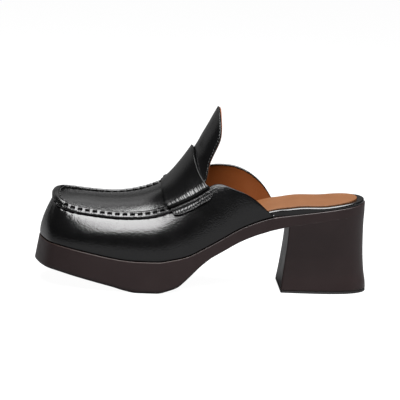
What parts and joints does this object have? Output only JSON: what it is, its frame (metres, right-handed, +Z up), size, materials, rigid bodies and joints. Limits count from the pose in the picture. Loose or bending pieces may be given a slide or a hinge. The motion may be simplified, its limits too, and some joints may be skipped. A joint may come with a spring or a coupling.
{
  "type": "heeled loafer mule",
  "caption": "Open-backed loafer mule for the left foot: squared moc-toe upper with saddle strap and tall tongue on a thick rocker platform and a flared block heel.",
  "frame": {"origin": "centre of the footprint's bounding box, on the floor that the sole and heel stand on", "axes": "+X from toe to heel, +Y towards the inner side of the left foot, +Z up"},
  "size_m": [0.2499, 0.0967, 0.1343],
  "materials": {
    "sole": "satin, dark burgundy brown",
    "upper_leather": "semi-gloss, fine grain, black",
    "sock_leather": "matt, smooth, tan"
  },
  "bodies": {
    "root": {"outsole": "sole", "heel": "sole", "upper": "upper_leather", "apron_seam": "upper_leather", "saddle_strap": "upper_leather", "tongue": "upper_leather", "footbed": "upper_leather", "insole": "sock_leather"}
  },
  "joints": []
}
